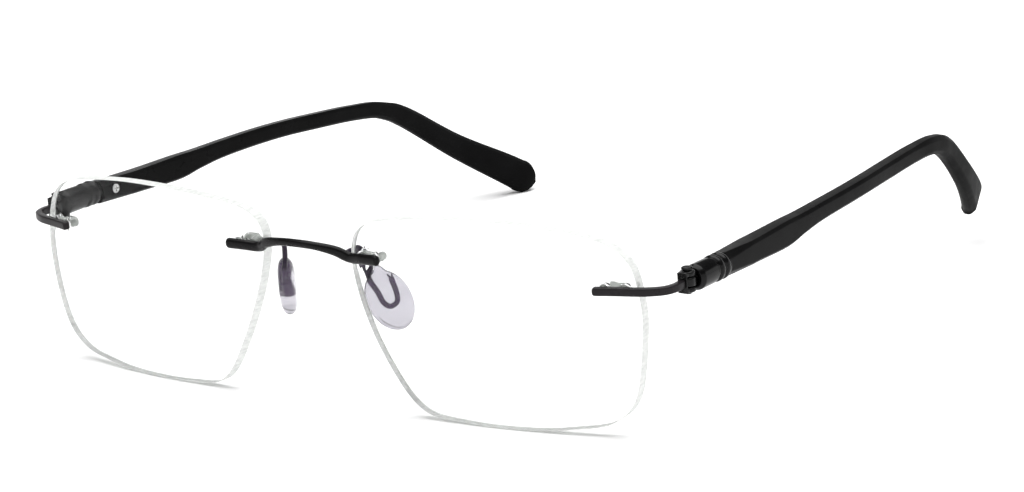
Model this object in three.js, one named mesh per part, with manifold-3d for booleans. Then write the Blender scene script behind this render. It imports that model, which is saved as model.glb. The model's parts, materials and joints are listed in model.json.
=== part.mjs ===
// Rimless eyeglasses: two drilled lenses held by a bridge, two endpieces and compression plugs,
// with a folding temple on an upright hinge pin at each side. Millimetres, +Z up, the front
// faces -Y and the temples run back along +Y. +X is the wearer's left.
// Every paired piece is drawn once for the +X side and mirrored for the -X side.

import * as THREE from 'three';
import { mergeVertices } from 'three/addons/utils/BufferGeometryUtils.js';
import Module from 'manifold-3d';

const wasm = await Module();
wasm.setup();

// ---- Driving dimensions -------------------------------------------------------------------

const GAP = 0.1;                    // clearance between pieces that touch

// Lens: a round meniscus blank, edged to an outline and drilled.
const LENS_X = 36.63;               // lens centre from the middle of the bridge
const LENS_WRAP = THREE.MathUtils.degToRad(5.7);
const LENS_THICK = 2.0;
const LENS_RADIUS = 113;            // radius of both lens surfaces
const BLANK_RADIUS = 33;
const LENS_OUTLINE = [              // u towards the temple, v up, from the lens centre
  [26.6, -1.4], [26.4, 5.5], [24.3, 11.2], [18.3, 14.4], [5.9, 16.0], [-5.7, 16.1],
  [-15.7, 15.3], [-23.9, 13.6], [-27.1, 9.5], [-26.0, 1.5], [-21.7, -8.5], [-15.5, -16.8],
  [-6.9, -18.4], [5.4, -18.5], [13.2, -17.7], [20.2, -16.2], [24.6, -11.7],
];
const HOLE_RADIUS = 0.95;

// Compression plugs: two barrels on a foot plate, pushed through from behind the lens.
const BARREL_RADIUS = 0.85;
const BARREL_BORE = 0.55;
const PIN_RADIUS = 0.45;
const PIN_STICK = 1.0;              // how far the mounting pins reach behind the lens
const FOOT_THICK = 0.35;
const FOOT_MARGIN = 0.05;
const BARREL_TAIL = 0.25;           // how far the barrels stand out behind the foot
const BRIDGE_HOLES = { u: [-24.8, -22.1], v: 8.0 };
const END_HOLES = { u: [20.6, 23.9], v: 6.2 };

// Bridge: oval wire, flat on both lenses, pressed taller there and arched between them.
const BRIDGE_WIRE = 1.35;           // front to back
const BRIDGE_HEIGHT = { crown: 1.35, ends: 1.8 };
const BRIDGE_FLARE = [3, 9];        // from the middle, where it grows taller
const BRIDGE_SIDES = 20;
const BRIDGE_END = { u: -21.1, v: 8.1 };
const BRIDGE_KINK = { u: -27.0, v: 7.9 };
const BRIDGE_ARCH = [[7.4, -0.7, 8.95], [3.8, -1.5, 9.7]];
const BRIDGE_CROWN = [0, -1.8, 9.9];

// Nose pads: a silicone drop pushed over the U at the end of a thin arm.
const ARM_WIRE = 0.9;
const PAD_CENTRE = new THREE.Vector3(11.05, 7.9, -1.3);
const PAD_SPLAY = THREE.MathUtils.degToRad(53);       // chord of the pad, from +X towards +Y
const PAD_LEAN = THREE.MathUtils.degToRad(25);        // the lower end leans outwards
const PAD_SIZE = [3.7, 5.6, 1.45];                    // half width, half length, half thickness
const ARM_ROUTE = [[8.0, 0.75, 8.2], [8.1, 2.9, 8.25], [8.3, 4.7, 7.2], [8.7, 5.3, 5.2]];
const PAD_HOOK = [[-3.0, 3.9], [-1.9, 1.7], [-1.05, -0.3], [0.05, -1.0], [1.15, -0.4],
  [1.15, 1.2], [0.5, 3.5]];                            // along the chord and up, in the pad

// Endpiece: a flat bar on the lens front that turns back to the hinge.
const BAR_HEIGHT = 1.35;
const BAR_THICK = 1.25;
const BAR_START_U = 19.3;
const BAR_END_U = 27.6;

// Hinge: fork and screw on the front, knuckle and tongue on the temple.
const HINGE = new THREE.Vector3(67, 13, 6.3);         // middle of the pin
const CHEEK_RADIUS = 1.3;
const CHEEK_THICK = 0.9;
const KNUCKLE_HEIGHT = 1.5;
const SCREW_RADIUS = 0.5;
const SCREW_HEAD = { radius: 0.95, height: 0.5 };
const TONGUE = { width: 1.3, length: 14.2 };

// Sleeve and grooved collar between the hinge and the temple, on the temple's own axis.
const SLEEVE = { start: 1.5, end: 6.2, radius: 2.15, bore: 1.15 };
const COLLAR = { start: 6.3, end: 9.9, radius: 2.25, groove: 2.0 };
const TEMPLE_SCREW = { y: 13.2, radius: 0.85, shank: 0.45, head: 0.35 };

// Temple spine: x, y, z of the section's middle from the hinge pin, with its width and depth.
const TEMPLE_SECTIONS = [
  { at: [-0.3, 10.0, -0.1], width: 3.8, depth: 4.1 },
  { at: [-0.9, 20, -0.3], width: 3.4, depth: 4.1 },
  { at: [-1.4, 30, -0.45], width: 3.0, depth: 4.5 },
  { at: [-1.7, 36, -0.15], width: 2.9, depth: 3.7 },
  { at: [-2.1, 43, 0.15], width: 2.8, depth: 3.2 },
  { at: [-3.0, 57, 0.25], width: 2.8, depth: 3.0 },
  { at: [-4.1, 68, 0.1], width: 2.8, depth: 3.0 },
  { at: [-4.9, 78, -0.1], width: 2.8, depth: 3.0 },
  { at: [-5.4, 86, -0.8], width: 2.9, depth: 3.3 },
  { at: [-6.3, 92, -3.4], width: 3.0, depth: 4.0 },
  { at: [-9.6, 103.5, -12.2], width: 3.1, depth: 4.9 },
  { at: [-13.9, 113.5, -19.3], width: 3.2, depth: 6.3 },
  { at: [-16.6, 118.5, -23.2], width: 3.2, depth: 6.8 },
];
const TEMPLE_STATIONS = 36;
const TEMPLE_CHAMFER = 0.28;        // of the section's smaller side
const TIP_LENGTH = 3.0;             // rounded end of the tip

// Each temple is adjusted by hand behind ADJUST_START: height added at the ear bend and the tip.
const ADJUST_START = 43;
const EAR_BEND_Y = 88;
const TEMPLE_ADJUST = {
  left: { bend: 1.2, tip: 3.6 },
  right: { bend: -2.2, tip: -1.3 },
};

// ---- Materials ----------------------------------------------------------------------------

function material(color, roughness, metalness, more = {}) {
  return new THREE.MeshStandardMaterial({ color, roughness, metalness, ...more });
}
const MATERIALS = {
  lens: () => material(0xf4f8f8, 0.02, 0, { transparent: true, opacity: 0.2 }),
  plug: () => material(0xe4e8ea, 0.1, 0, { transparent: true, opacity: 0.5 }),
  silicone: () => material(0xd9d5e2, 0.25, 0, { transparent: true, opacity: 0.6 }),
  blackMetal: () => material(0x141314, 0.35, 0.6),
  sleeve: () => material(0x0b0b0c, 0.15, 0),
  temple: () => material(0x1a1a1b, 0.45, 0),
  steel: () => material(0xc9c9c8, 0.25, 1),
};

// ---- Solids -------------------------------------------------------------------------------

function toSolid(geometry) {
  const bare = geometry.clone();
  bare.deleteAttribute('normal');
  bare.deleteAttribute('uv');
  const merged = mergeVertices(bare, 1e-4);
  return new wasm.Manifold(new wasm.Mesh({
    numProp: 3,
    vertProperties: new Float32Array(merged.attributes.position.array),
    triVerts: new Uint32Array(merged.index.array),
  }));
}

function toGeometry(solid) {
  const mesh = solid.getMesh();
  const geometry = new THREE.BufferGeometry();
  geometry.setAttribute('position', new THREE.BufferAttribute(mesh.vertProperties, 3));
  geometry.setIndex(new THREE.BufferAttribute(mesh.triVerts, 1));
  geometry.computeVertexNormals();
  return geometry;
}

function join(...geometries) {
  return toGeometry(geometries.map(toSolid).reduce((whole, next) => whole.add(next)));
}

function cut(geometry, ...tools) {
  return toGeometry(tools.map(toSolid).reduce((whole, tool) => whole.subtract(tool), toSolid(geometry)));
}

function common(a, b) {
  return toGeometry(toSolid(a).intersect(toSolid(b)));
}

// Mirror across X = 0, keeping the faces pointing out.
function mirrored(geometry) {
  const flipped = geometry.index ? geometry.clone() : mergeVertices(geometry);
  flipped.scale(-1, 1, 1);
  const index = flipped.index.array;
  for (let i = 0; i < index.length; i += 3) {
    [index[i], index[i + 1]] = [index[i + 1], index[i]];
  }
  flipped.computeVertexNormals();
  return flipped;
}

function circle(radius) {
  return new THREE.Shape().absarc(0, 0, radius, 0, 2 * Math.PI);
}

function tubeAlong(points, radius, steps, quarters) {
  const path = new THREE.CatmullRomCurve3(points, false, 'centripetal');
  return new THREE.ExtrudeGeometry(circle(radius), {
    steps, extrudePath: path, curveSegments: quarters,
  });
}

function ball(radius, at) {
  return new THREE.SphereGeometry(radius, 10, 6).translate(...at);
}

// Cylinder along Y from y0 to y1.
function rodY(radius, x, z, y0, y1, sides = 12) {
  const rod = new THREE.CylinderGeometry(radius, radius, y1 - y0, sides);
  return rod.translate(x, (y0 + y1) / 2, z);
}

// Cylinder along Z from z0 to z1.
function rodZ(radius, z0, z1, sides = 16) {
  const rod = new THREE.CylinderGeometry(radius, radius, z1 - z0, sides);
  return rod.rotateX(Math.PI / 2).translate(0, 0, (z0 + z1) / 2);
}

// Cylinder along X from x0 to x1.
function rodAcross(radius, x0, x1, y, z) {
  const rod = new THREE.CylinderGeometry(radius, radius, x1 - x0, 12);
  return rod.rotateZ(Math.PI / 2).translate((x0 + x1) / 2, y, z);
}

function block(x0, x1, y0, y1, z0, z1) {
  const box = new THREE.BoxGeometry(x1 - x0, y1 - y0, z1 - z0);
  return box.translate((x0 + x1) / 2, (y0 + y1) / 2, (z0 + z1) / 2);
}

// Skin over a list of rings with the same number of points, closed at both ends.
function loft(rings) {
  const sides = rings[0].length;
  const vertices = rings.flat().flatMap((p) => [p.x, p.y, p.z]);
  const faces = [];
  for (let i = 0; i < rings.length - 1; i++) {
    for (let j = 0; j < sides; j++) {
      const a = i * sides + j;
      const b = i * sides + ((j + 1) % sides);
      faces.push(a, a + sides, b, b, a + sides, b + sides);
    }
  }
  const base = (rings.length - 1) * sides;
  for (let j = 1; j < sides - 1; j++) {
    faces.push(0, j, j + 1, base, base + j + 1, base + j);
  }
  const geometry = new THREE.BufferGeometry();
  geometry.setAttribute('position', new THREE.Float32BufferAttribute(vertices, 3));
  geometry.setIndex(faces);
  return geometry;
}

// ---- Lens and plugs, in the lens's own frame (u, depth, v) ---------------------------------

// Depth of the lens's front surface behind its vertex.
function sag(u, v) {
  return LENS_RADIUS - Math.sqrt(LENS_RADIUS ** 2 - u ** 2 - v ** 2);
}

// A point at the given depth in front of the lens's front surface, in the spectacle frame.
function onLensFront({ u, v }, stand) {
  const depth = sag(u, v) - stand;
  return new THREE.Vector3(
    LENS_X + u * Math.cos(LENS_WRAP) - depth * Math.sin(LENS_WRAP),
    u * Math.sin(LENS_WRAP) + depth * Math.cos(LENS_WRAP),
    v,
  );
}

function lensBlank() {
  const profile = [];
  const rings = 6;
  for (let i = 0; i <= rings; i++) {
    const r = (BLANK_RADIUS * i) / rings;
    profile.push(new THREE.Vector2(r, sag(r, 0)));
  }
  for (let i = rings; i >= 0; i--) {
    const r = (BLANK_RADIUS * i) / rings;
    profile.push(new THREE.Vector2(r, sag(r, 0) + LENS_THICK));
  }
  return new THREE.LatheGeometry(profile, 32);
}

function lensGeometry() {
  const rim = LENS_OUTLINE.map(([u, v]) => new THREE.Vector3(u, v, 0));
  const curve = new THREE.CatmullRomCurve3(rim, true, 'catmullrom', 0.5);
  const shape = new THREE.Shape(curve.getPoints(68).slice(0, -1).map((p) => new THREE.Vector2(p.x, p.y)));
  const edge = new THREE.ExtrudeGeometry(shape, { depth: 20, bevelEnabled: false });
  edge.rotateX(Math.PI / 2).translate(0, 15, 0);
  const holes = [BRIDGE_HOLES, END_HOLES].flatMap(({ u, v }) => u.map(
    (x) => rodY(HOLE_RADIUS, x, v, -5, 15),
  ));
  return cut(common(lensBlank(), edge), ...holes);
}

// The foot plate lies against the back of the lens between the two barrels.
function plugGeometry({ u, v }) {
  const middle = (u[0] + u[1]) / 2;
  const back = Math.max(...u.map((x) => sag(Math.abs(x) + BARREL_RADIUS, v))) + LENS_THICK + GAP;
  const reach = BARREL_RADIUS + FOOT_MARGIN;
  const foot = new THREE.Shape();
  const half = (u[1] - u[0]) / 2;
  foot.absarc(half, 0, reach, -Math.PI / 2, Math.PI / 2);
  foot.absarc(-half, 0, reach, Math.PI / 2, 1.5 * Math.PI);
  const plate = new THREE.ExtrudeGeometry(foot, {
    depth: FOOT_THICK, bevelEnabled: false, curveSegments: 8,
  });
  plate.rotateX(Math.PI / 2).translate(middle, back + FOOT_THICK, v);
  const barrels = u.map((x) => rodY(BARREL_RADIUS, x, v, sag(x, v) + 0.2, back + FOOT_THICK + BARREL_TAIL));
  const bores = u.map((x) => rodY(BARREL_BORE, x, v, 0, back + FOOT_THICK + BARREL_TAIL + 1));
  return cut(join(plate, ...barrels), ...bores);
}

// Mounting pins through the lens, in the lens's frame, from the bar to the barrel's tail.
function pinGeometries({ u, v }) {
  return u.map((x) => rodY(PIN_RADIUS, x, v, sag(x, v) - 0.7, sag(x, v) + LENS_THICK + PIN_STICK, 8));
}

// Moves geometry from the lens's frame to the spectacle frame.
function fromLensFrame(geometry) {
  return geometry.rotateZ(LENS_WRAP).translate(LENS_X, 0, 0);
}

// ---- Front: bridge, pad arms, pads, endpieces ----------------------------------------------

// Oval section across the bridge's path.
function bridgeRing(path, t) {
  const centre = path.getPointAt(t);
  const along = path.getTangentAt(t);
  const back = along.clone().cross(new THREE.Vector3(0, 0, 1)).normalize();
  const up = back.clone().cross(along);
  const flare = THREE.MathUtils.smoothstep(Math.abs(centre.x), ...BRIDGE_FLARE);
  const height = THREE.MathUtils.lerp(BRIDGE_HEIGHT.crown, BRIDGE_HEIGHT.ends, flare);
  const ring = [];
  for (let k = 0; k < BRIDGE_SIDES; k++) {
    const angle = (2 * Math.PI * k) / BRIDGE_SIDES;
    const point = centre.clone().addScaledVector(back, (BRIDGE_WIRE / 2) * Math.cos(angle));
    ring.push(point.addScaledVector(up, (height / 2) * Math.sin(angle)));
  }
  return ring;
}

function bridgeGeometry() {
  const stand = BRIDGE_WIRE / 2 + GAP;
  const half = [
    onLensFront(BRIDGE_END, stand),
    onLensFront({ u: (BRIDGE_END.u + BRIDGE_KINK.u) / 2, v: 8.0 }, stand),
    onLensFront(BRIDGE_KINK, stand),
    ...BRIDGE_ARCH.map((p) => new THREE.Vector3(...p)),
  ];
  const other = half.map((p) => new THREE.Vector3(-p.x, p.y, p.z)).reverse();
  const route = [...half, new THREE.Vector3(...BRIDGE_CROWN), ...other];
  const path = new THREE.CatmullRomCurve3(route, false, 'centripetal');
  const steps = 40;
  const wire = loft(Array.from({ length: steps + 1 }, (_, k) => bridgeRing(path, k / steps)));
  const ends = [route[0], route[route.length - 1]].map((p) => {
    const end = new THREE.SphereGeometry(BRIDGE_WIRE / 2 - 0.02, 12, 8);
    return end.scale(1, 1, BRIDGE_HEIGHT.ends / BRIDGE_WIRE).translate(p.x, p.y, p.z);
  });
  const pins = pinGeometries(BRIDGE_HOLES).map(fromLensFrame);
  return join(wire, ...ends, ...pins, ...pins.map(mirrored));
}

// A point of the pad's plane, given along its chord and upwards from its centre.
function inPad([along, up]) {
  const chord = new THREE.Vector3(Math.cos(PAD_SPLAY), Math.sin(PAD_SPLAY), 0);
  return PAD_CENTRE.clone().addScaledVector(chord, along).add(new THREE.Vector3(0, 0, up));
}

function padArmRoute() {
  return [...ARM_ROUTE.map((p) => new THREE.Vector3(...p)), ...PAD_HOOK.map(inPad)];
}

function padArmGeometry() {
  return tubeAlong(padArmRoute(), ARM_WIRE / 2, 32, 3);
}

function nosePadGeometry() {
  const pad = new THREE.SphereGeometry(1, 18, 10).scale(...PAD_SIZE);
  pad.rotateZ(PAD_LEAN).rotateX(Math.PI / 2).rotateZ(PAD_SPLAY);
  pad.translate(...PAD_CENTRE);
  const channel = tubeAlong(padArmRoute(), ARM_WIRE / 2 + GAP, 32, 3);
  const route = padArmRoute();
  const end = route[route.length - 1];
  return cut(pad, join(channel, ball(ARM_WIRE / 2 + GAP, [end.x, end.y, end.z])));
}

function endpieceRoute() {
  const stand = BAR_THICK / 2 + GAP;
  const v = END_HOLES.v;
  const start = onLensFront({ u: BAR_START_U, v }, stand);
  const end = onLensFront({ u: BAR_END_U, v }, stand);
  const middle = start.clone().lerp(end, 0.5);
  return [
    start, middle, end,
    new THREE.Vector3(66.3, 7.4, v),
    new THREE.Vector3(HINGE.x, 9.2, v),
    new THREE.Vector3(HINGE.x, HINGE.y - CHEEK_RADIUS - 0.4, v),
  ];
}

function endpieceGeometry() {
  const section = new THREE.Shape();
  const a = BAR_HEIGHT / 2;
  const b = BAR_THICK / 2;
  const c = 0.25;
  section.moveTo(-a + c, -b).lineTo(a - c, -b).lineTo(a, -b + c).lineTo(a, b - c);
  section.lineTo(a - c, b).lineTo(-a + c, b).lineTo(-a, b - c).lineTo(-a, -b + c);
  const path = new THREE.CatmullRomCurve3(endpieceRoute(), false, 'centripetal');
  const bar = new THREE.ExtrudeGeometry(section, { steps: 26, extrudePath: path });
  return join(bar, ...pinGeometries(END_HOLES).map(fromLensFrame));
}

// ---- Hinge, about the pin at the origin -----------------------------------------------------

const CHEEK_INNER = KNUCKLE_HEIGHT / 2 + GAP;
const CHEEK_OUTER = CHEEK_INNER + CHEEK_THICK;

function forkGeometry() {
  const root = -CHEEK_RADIUS - 0.3;
  const cheeks = [1, -1].flatMap((side) => {
    const z0 = side > 0 ? CHEEK_INNER : -CHEEK_OUTER;
    return [
      rodZ(CHEEK_RADIUS, z0, z0 + CHEEK_THICK),
      block(-0.9, 0.9, root, 0, z0, z0 + CHEEK_THICK),
    ];
  });
  const web = block(-0.9, 0.9, root, -CHEEK_RADIUS - 0.08, -CHEEK_OUTER, CHEEK_OUTER);
  const hole = rodZ(SCREW_RADIUS + 0.06, -4, 4);
  return cut(join(...cheeks, web), hole);
}

function hingeScrewGeometry() {
  const top = CHEEK_OUTER + GAP;
  const shank = rodZ(SCREW_RADIUS, -CHEEK_OUTER - 0.35, top + 0.1);
  const head = rodZ(SCREW_HEAD.radius, top, top + SCREW_HEAD.height);
  const slot = block(-2, 2, -0.14, 0.14, top + SCREW_HEAD.height - 0.22, top + 2);
  return cut(join(shank, head), slot);
}

function knuckleGeometry() {
  const half = KNUCKLE_HEIGHT / 2;
  const barrel = rodZ(CHEEK_RADIUS, -half, half);
  const tongue = block(-TONGUE.width / 2, TONGUE.width / 2, 0, TONGUE.length, -half, half);
  const bore = rodZ(SCREW_RADIUS + 0.06, -4, 4);
  const threaded = rodAcross(TEMPLE_SCREW.shank + 0.1, -2, 0.2, TEMPLE_SCREW.y, 0);
  return cut(join(barrel, tongue), bore, threaded);
}

function ringProfile(points) {
  return new THREE.LatheGeometry(points.map(([r, y]) => new THREE.Vector2(r, y)), 16);
}

function sleeveGeometry() {
  const { start, end, radius, bore } = SLEEVE;
  return ringProfile([
    [bore, start], [radius - 0.5, start], [radius - 0.12, start + 0.35], [radius, start + 0.9],
    [radius, end - 0.3], [radius - 0.15, end], [bore, end], [bore, start],
  ]);
}

function collarGeometry() {
  const { start, end, radius, groove } = COLLAR;
  return ringProfile([
    [SLEEVE.bore, start], [groove, start], [groove, start + 0.5], [radius, start + 0.7],
    [radius, end - 0.7], [groove, end - 0.5], [groove, end], [SLEEVE.bore, end],
    [SLEEVE.bore, start],
  ]);
}

// ---- Temple ---------------------------------------------------------------------------------

function sampleSections(key, t) {
  const last = TEMPLE_SECTIONS.length - 1;
  const i = Math.min(Math.floor(t * last), last - 1);
  const f = THREE.MathUtils.smoothstep(t * last - i, 0, 1);
  return THREE.MathUtils.lerp(TEMPLE_SECTIONS[i][key], TEMPLE_SECTIONS[i + 1][key], f);
}

// Chamfered rectangle: offsets across (x) and along the depth, as an eight-sided ring.
function sectionRing(width, depth) {
  const a = width / 2;
  const b = depth / 2;
  const c = Math.min(width, depth) * TEMPLE_CHAMFER;
  return [[a, b - c], [a - c, b], [-a + c, b], [-a, b - c], [-a, -b + c], [-a + c, -b],
    [a - c, -b], [a, -b + c]];
}

// Height added to the spine at y by the temple's adjustment.
function adjustedBy(y, { bend, tip }) {
  if (y < EAR_BEND_Y) return bend * Math.max(0, (y - ADJUST_START) / (EAR_BEND_Y - ADJUST_START)) ** 2;
  const tipY = TEMPLE_SECTIONS[TEMPLE_SECTIONS.length - 1].at[1];
  return THREE.MathUtils.mapLinear(y, EAR_BEND_Y, tipY, bend, tip);
}

function templeGeometry(side) {
  const spine = new THREE.CatmullRomCurve3(
    TEMPLE_SECTIONS.map((s) => new THREE.Vector3(...s.at)), false, 'catmullrom', 0.5,
  );
  const length = spine.getLength();
  const rings = [];
  for (let k = 0; k <= TEMPLE_STATIONS; k++) {
    const t = k / TEMPLE_STATIONS;
    const centre = spine.getPoint(t);
    centre.z += adjustedBy(centre.y, TEMPLE_ADJUST[side]);
    const along = spine.getTangent(t);
    const up = new THREE.Vector3(0, -along.z, along.y).normalize();
    const left = length * (1 - t);
    const round = left < TIP_LENGTH ? Math.sqrt(1 - (1 - left / TIP_LENGTH) ** 2 * 0.8) : 1;
    const depth = sampleSections('depth', t) * round;
    rings.push(sectionRing(sampleSections('width', t), depth).map(
      ([x, s]) => centre.clone().addScaledVector(up, s).add(new THREE.Vector3(x, 0, 0)),
    ));
  }
  const pocket = block(
    -TONGUE.width / 2 - GAP, TONGUE.width / 2 + GAP, 0, TONGUE.length + 0.4,
    -KNUCKLE_HEIGHT / 2 - GAP, KNUCKLE_HEIGHT / 2 + GAP,
  );
  const { y, radius, shank } = TEMPLE_SCREW;
  const inner = -2.45;
  const sink = rodAcross(radius + GAP, inner - 3, inner + 0.55, y, 0);
  const hole = rodAcross(shank + GAP, inner - 1, 0, y, 0);
  return cut(loft(rings), pocket, sink, hole);
}

function templeScrewGeometry() {
  const { y, radius, shank, head } = TEMPLE_SCREW;
  const face = -2.4;
  const disc = rodAcross(radius, face, face + head, y, 0);
  const stem = rodAcross(shank, face + 0.1, -0.1, y, 0);
  const arms = [
    block(face - 1, face + 0.15, y - 0.12, y + 0.12, -0.55, 0.55),
    block(face - 1, face + 0.15, y - 0.55, y + 0.55, -0.12, 0.12),
  ];
  return cut(join(disc, stem), ...arms);
}

// ---- Assembly -------------------------------------------------------------------------------

const eyeglasses = new THREE.Group();
const frame = new THREE.Group();
eyeglasses.add(frame);

function add(parent, name, geometry, finish) {
  const mesh = new THREE.Mesh(geometry, MATERIALS[finish]());
  mesh.name = name;
  parent.add(mesh);
}

// Name, maker (drawn for the +X side) and finish of every paired piece.
const LENS_PIECES = [
  ['lens', lensGeometry, 'lens'],
  ['bridge_plug', () => plugGeometry(BRIDGE_HOLES), 'plug'],
  ['endpiece_plug', () => plugGeometry(END_HOLES), 'plug'],
];
const FRONT_PIECES = [
  ['pad_arm', padArmGeometry, 'blackMetal'],
  ['nose_pad', nosePadGeometry, 'silicone'],
  ['endpiece', endpieceGeometry, 'blackMetal'],
];
const HINGE_PIECES = [
  ['hinge_fork', forkGeometry, 'blackMetal'],
  ['hinge_screw', hingeScrewGeometry, 'blackMetal'],
  ['hinge_knuckle', knuckleGeometry, 'blackMetal'],
  ['hinge_sleeve', sleeveGeometry, 'sleeve'],
  ['collar_ring', collarGeometry, 'sleeve'],
  ['temple', templeGeometry, 'temple'],
  ['temple_screw', templeScrewGeometry, 'steel'],
];

add(frame, 'bridge', bridgeGeometry(), 'blackMetal');

for (const [side, sign] of [['left', 1], ['right', -1]]) {
  const lensMount = new THREE.Group();
  lensMount.position.x = sign * LENS_X;
  lensMount.rotation.z = sign * LENS_WRAP;
  const hingeMount = new THREE.Group();
  hingeMount.position.set(sign * HINGE.x, HINGE.y, HINGE.z);
  const groups = [
    [lensMount, LENS_PIECES], [frame, FRONT_PIECES], [hingeMount, HINGE_PIECES],
  ];
  for (const [group, pieces] of groups) {
    if (group !== frame) frame.add(group);
    for (const [name, make, finish] of pieces) {
      const geometry = make(side);
      add(group, `${name}_${side}`, sign > 0 ? geometry : mirrored(geometry), finish);
    }
  }
}

// Lowest point of a named piece in the spectacle frame.
function lowestPoint(name) {
  eyeglasses.updateMatrixWorld(true);
  const mesh = eyeglasses.getObjectByName(name);
  const points = mesh.geometry.attributes.position;
  let lowest = new THREE.Vector3(0, 0, Infinity);
  for (let i = 0; i < points.count; i++) {
    const point = new THREE.Vector3().fromBufferAttribute(points, i).applyMatrix4(mesh.matrixWorld);
    if (point.z < lowest.z) lowest = point;
  }
  return lowest;
}

// Stand the glasses on the lens bottoms and the lower tip, centred front to back.
const lensFoot = lowestPoint('lens_right');
const tipFoot = lowestPoint('temple_right');
frame.rotation.x = Math.atan2(lensFoot.z - tipFoot.z, tipFoot.y - lensFoot.y);
const box = new THREE.Box3().setFromObject(eyeglasses, true);
frame.position.set(0, -(box.min.y + box.max.y) / 2, -box.min.z);

export default eyeglasses;
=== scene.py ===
"""Rimless eyeglasses: the looks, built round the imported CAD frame.

Lengths in the tables below are millimetres in the spectacle frame: X = 0 is the mirror plane,
+X the wearer's left, the lenses face -Y, Y = 0 touches the lens vertices and Z = 0 is the lens
centre height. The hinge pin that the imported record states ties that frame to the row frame.
"""

import json
import math

import bmesh
import bpy
from mathutils import Matrix, Vector
from mathutils.geometry import delaunay_2d_cdt

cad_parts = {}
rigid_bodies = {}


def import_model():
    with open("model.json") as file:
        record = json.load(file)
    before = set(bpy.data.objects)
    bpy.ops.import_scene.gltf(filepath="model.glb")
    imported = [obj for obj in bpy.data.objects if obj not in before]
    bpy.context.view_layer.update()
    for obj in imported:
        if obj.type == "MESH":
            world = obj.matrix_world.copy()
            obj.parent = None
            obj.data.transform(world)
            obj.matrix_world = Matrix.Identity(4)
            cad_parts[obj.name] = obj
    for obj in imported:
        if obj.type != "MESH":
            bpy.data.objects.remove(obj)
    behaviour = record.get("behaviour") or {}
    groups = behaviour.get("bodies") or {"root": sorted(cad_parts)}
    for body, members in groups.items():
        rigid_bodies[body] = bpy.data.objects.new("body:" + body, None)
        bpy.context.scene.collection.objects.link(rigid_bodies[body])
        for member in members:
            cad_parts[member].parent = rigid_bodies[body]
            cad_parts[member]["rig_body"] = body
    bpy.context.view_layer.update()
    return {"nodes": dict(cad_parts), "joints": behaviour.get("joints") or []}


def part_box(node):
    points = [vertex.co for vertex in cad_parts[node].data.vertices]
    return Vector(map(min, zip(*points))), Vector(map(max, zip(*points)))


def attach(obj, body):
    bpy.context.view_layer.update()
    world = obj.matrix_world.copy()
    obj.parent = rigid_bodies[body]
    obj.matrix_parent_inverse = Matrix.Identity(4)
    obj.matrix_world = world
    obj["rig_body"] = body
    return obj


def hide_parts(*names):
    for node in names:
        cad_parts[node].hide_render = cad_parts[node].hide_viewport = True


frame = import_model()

SIDES = (("left", 1), ("right", -1))

# ---- Driving dimensions ---------------------------------------------------------------------
#
# These are the CAD's, but the collar groove is 0.05 deeper, and PAD_FLATNESS, PLUG_RELIEF,
# EDGE_BEVEL, PRONG and TIP only shape the looks.

MM = 0.001
LENS_X = 36.63
LENS_WRAP = math.radians(5.7)
LENS_THICK = 2.0
LENS_RADIUS = 113.0
LENS_OUTLINE = [
    (26.6, -1.4), (26.4, 5.5), (24.3, 11.2), (18.3, 14.4), (5.9, 16.0), (-5.7, 16.1),
    (-15.7, 15.3), (-23.9, 13.6), (-27.1, 9.5), (-26.0, 1.5), (-21.7, -8.5), (-15.5, -16.8),
    (-6.9, -18.4), (5.4, -18.5), (13.2, -17.7), (20.2, -16.2), (24.6, -11.7),
]
EDGE_BEVEL = 0.14
HOLE_RADIUS = 0.95

BRIDGE_HOLES = {"u": (-24.8, -22.1), "v": 8.0}
END_HOLES = {"u": (20.6, 23.9), "v": 6.2}
BARREL_RADIUS = 0.85
BARREL_BORE = 0.55
PLUG_RELIEF = 0.12
FOOT_THICK = 0.35
FOOT_MARGIN = 0.05
PIN_RADIUS = 0.45
PIN_FRONT = 0.7
PIN_STICK = 1.0
GAP = 0.1

BRIDGE_WIRE = 1.35
BRIDGE_HEIGHT = {"crown": 1.35, "ends": 1.8}
BRIDGE_FLARE = (3, 9)
BRIDGE_END = (-21.1, 8.1)
BRIDGE_MID = (-24.05, 8.0)
BRIDGE_KINK = (-27.0, 7.9)
BRIDGE_ARCH = [(7.4, -0.7, 8.95), (3.8, -1.5, 9.7)]
BRIDGE_CROWN = (0, -1.8, 9.9)

ARM_WIRE = 0.9
PAD_CENTRE = Vector((11.05, 7.9, -1.3))
PAD_SPLAY = math.radians(53)
PAD_LEAN = math.radians(25)
PAD_SIZE = (3.7, 5.6, 1.45)
PAD_FLATNESS = 0.45
PRONG = {"length": 0.75, "spread": 0.34, "radius": 0.15}
ARM_ROUTE = [(8.0, 0.75, 8.2), (8.1, 2.9, 8.25), (8.3, 4.7, 7.2), (8.7, 5.3, 5.2)]
PAD_HOOK = [
    (-3.0, 3.9), (-1.9, 1.7), (-1.05, -0.3), (0.05, -1.0), (1.15, -0.4), (1.15, 1.2), (0.5, 3.5),
]

BAR_HEIGHT = 1.35
BAR_THICK = 1.25
BAR_START = (19.3, 6.2)
BAR_END = (27.6, 6.2)

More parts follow.
